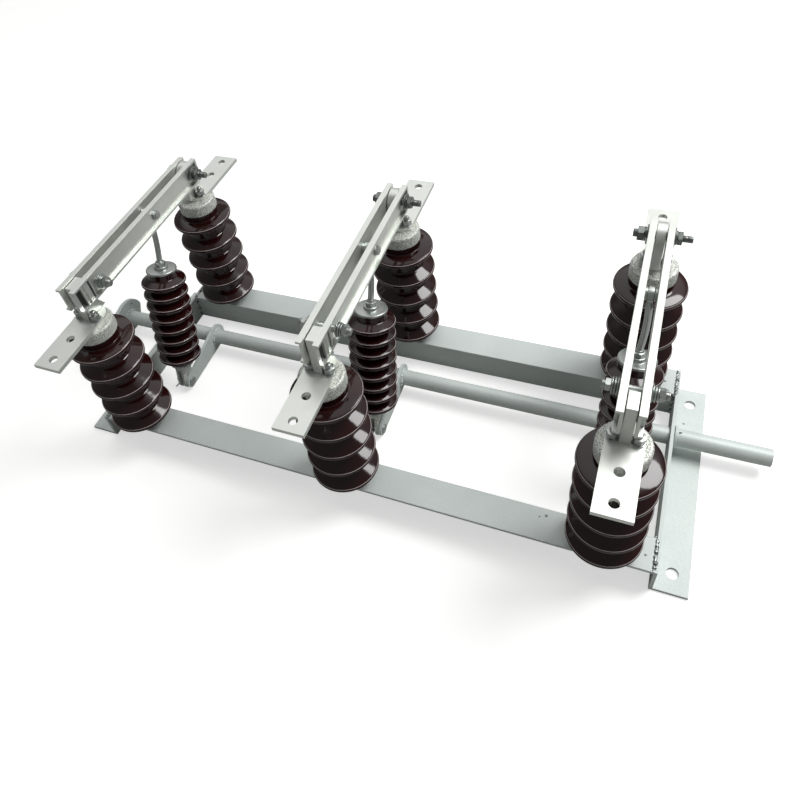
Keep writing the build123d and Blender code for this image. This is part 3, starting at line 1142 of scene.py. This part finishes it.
# Welds: beams to end angles, cranks and lever to the shaft.
frame_seams = []
for side in (-1, 1):
    for end in (-1, 1):
        x = end * 355.0
        inside = x - end * 0.6
        frame_seams += [
            [(x, side * 101, 39.2), (x, side * 139, 39.2)],
            [(inside, side * 99.5, 3.0), (inside, side * 99.5, 38.0)],
            [(inside, side * 105, 35.5), (inside, side * 138, 35.5)],
        ]
corners = [p for seam in frame_seams for p in seam]
lines = [(2 * k, 2 * k + 1) for k in range(len(frame_seams))]
beads = grown(
    marks(corners, lines),
    weld_beads,
    {"Width": 0.0036, "Ripple": 0.0016, "Seed": 7, "Finish": weld},
)
piece("frame_weld_beads", beads, "frame", weld, sharp=70)

ring_sides = 40
ring_radius = 11.0
ring_corners = []
ring_lines = []
for x in [p + side for p in poles.values() for side in (6.4, 11.7)] + [-449.4]:
    first = len(ring_corners)
    for k in range(ring_sides):
        a = 2 * pi * k / ring_sides
        ring_corners.append((x, shaft[0] + ring_radius * cos(a), shaft[1] + ring_radius * sin(a)))
        ring_lines.append((first + k, first + (k + 1) % ring_sides))
beads = grown(
    marks(ring_corners, ring_lines),
    weld_beads,
    {"Width": 0.0032, "Ripple": 0.0018, "Seed": 11, "Finish": paint},
)
piece("shaft_weld_beads", beads, "shaft", paint, sharp=70)

patterns = (
    shed_pattern,
    end_pattern,
    bolt_pattern,
    rib_pattern,
    rod_shed_pattern,
    rod_end_pattern,
)
for thing in patterns:
    bpy.data.objects.remove(thing)


# Stage: white floor that keeps a soft shadow.
bpy.ops.mesh.primitive_plane_add(size=14, location=(0, 0, 0))
floor = bpy.context.object
floor.name = "studio_floor"
floor_paint, tree, out, _ = new_material("white_studio_paper")
paths = add(tree, "ShaderNodeLightPath")
shaded = add(tree, "ShaderNodeBsdfDiffuse", {"Color": colour("#b2b2b0")})
paper = add(tree, "ShaderNodeBsdfDiffuse", {"Color": colour("#dededc")})
glow = add(tree, "ShaderNodeEmission", {"Color": colour("#ffffff"), "Strength": 0.55})
both = add(tree, "ShaderNodeMixShader", {0: paths.outputs["Is Camera Ray"], 1: shaded.outputs[0]})
total = add(tree, "ShaderNodeAddShader", {0: paper.outputs[0], 1: glow.outputs[0]})
tree.links.new(total.outputs[0], both.inputs[2])
tree.links.new(both.outputs[0], out.inputs["Surface"])
floor.data.materials.append(floor_paint)

# Surroundings: a dim room, brightest high up behind the object, and white to the camera.
world = bpy.data.worlds.new("studio")
scene.world = world
world.use_nodes = True
tree = world.node_tree
tree.nodes.clear()
brightest = Vector((-0.1, 0.55, 0.83)).normalized()
way = add(tree, "ShaderNodeTexCoord")
toward = add(
    tree,
    "ShaderNodeVectorMath",
    {0: way.outputs["Generated"], 1: brightest},
    operation="DOT_PRODUCT",
)
strength = add(tree, "ShaderNodeValToRGB", {"Fac": toward.outputs["Value"]})
dim, bright = strength.color_ramp.elements
dim.position = 0.7
dim.color = (0.2, 0.2, 0.2, 1)
bright.position = 0.81
bright.color = (0.95, 0.95, 0.95, 1)
strength.color_ramp.elements.new(0.93).color = (1.1, 1.1, 1.1, 1)
sky = add(tree, "ShaderNodeBackground", {"Color": strength.outputs["Color"], "Strength": 1.0})
white = add(tree, "ShaderNodeBackground", {"Color": colour("#ffffff"), "Strength": 1.0})
paths = add(tree, "ShaderNodeLightPath")
shown = add(
    tree,
    "ShaderNodeMixShader",
    {0: paths.outputs["Is Camera Ray"], 1: sky.outputs[0], 2: white.outputs[0]},
)
add(tree, "ShaderNodeOutputWorld", {"Surface": shown.outputs[0]})

# One soft round lamp, high up behind on the right.
softbox = bpy.data.lights.new("high_right_softbox", "AREA")
softbox.shape = "ELLIPSE"
softbox.size = 1.0
softbox.size_y = 1.0
softbox.energy = 27
lamp = bpy.data.objects.new("high_right_softbox", softbox)
scene.collection.objects.link(lamp)
lamp_place = Vector((1.05, 0.62, 1.6))
lamp_target = Vector((0, 0, 0.15))
lamp.location = lamp_place
lamp.rotation_euler = (lamp_target - lamp_place).to_track_quat("-Z", "Y").to_euler()

# Camera at the photograph's viewing angle.
photo_side = 800
focal_length = 710.917
centre_x = 371.466
centre_y = 313.742
lens = bpy.data.cameras.new("camera")
lens.sensor_width = 36.0
lens.lens = focal_length / photo_side * 36.0
lens.shift_x = (photo_side / 2 - centre_x) / photo_side
lens.shift_y = (centre_y - photo_side / 2) / photo_side
lens.clip_start = 0.05
lens.clip_end = 50
camera = bpy.data.objects.new("camera", lens)
scene.collection.objects.link(camera)
right = Vector((0.925413, 0.357568, -0.125520))
down = Vector((0.177904, -0.702371, -0.689221))
ahead = Vector((-0.334605, 0.615483, -0.713596))
turn = Matrix((right, -down, -ahead)).transposed().to_4x4()
camera.matrix_world = Matrix.Translation((0.28295, -0.51050, 0.78953)) @ turn
scene.camera = camera
scene.view_settings.view_transform = "Standard"
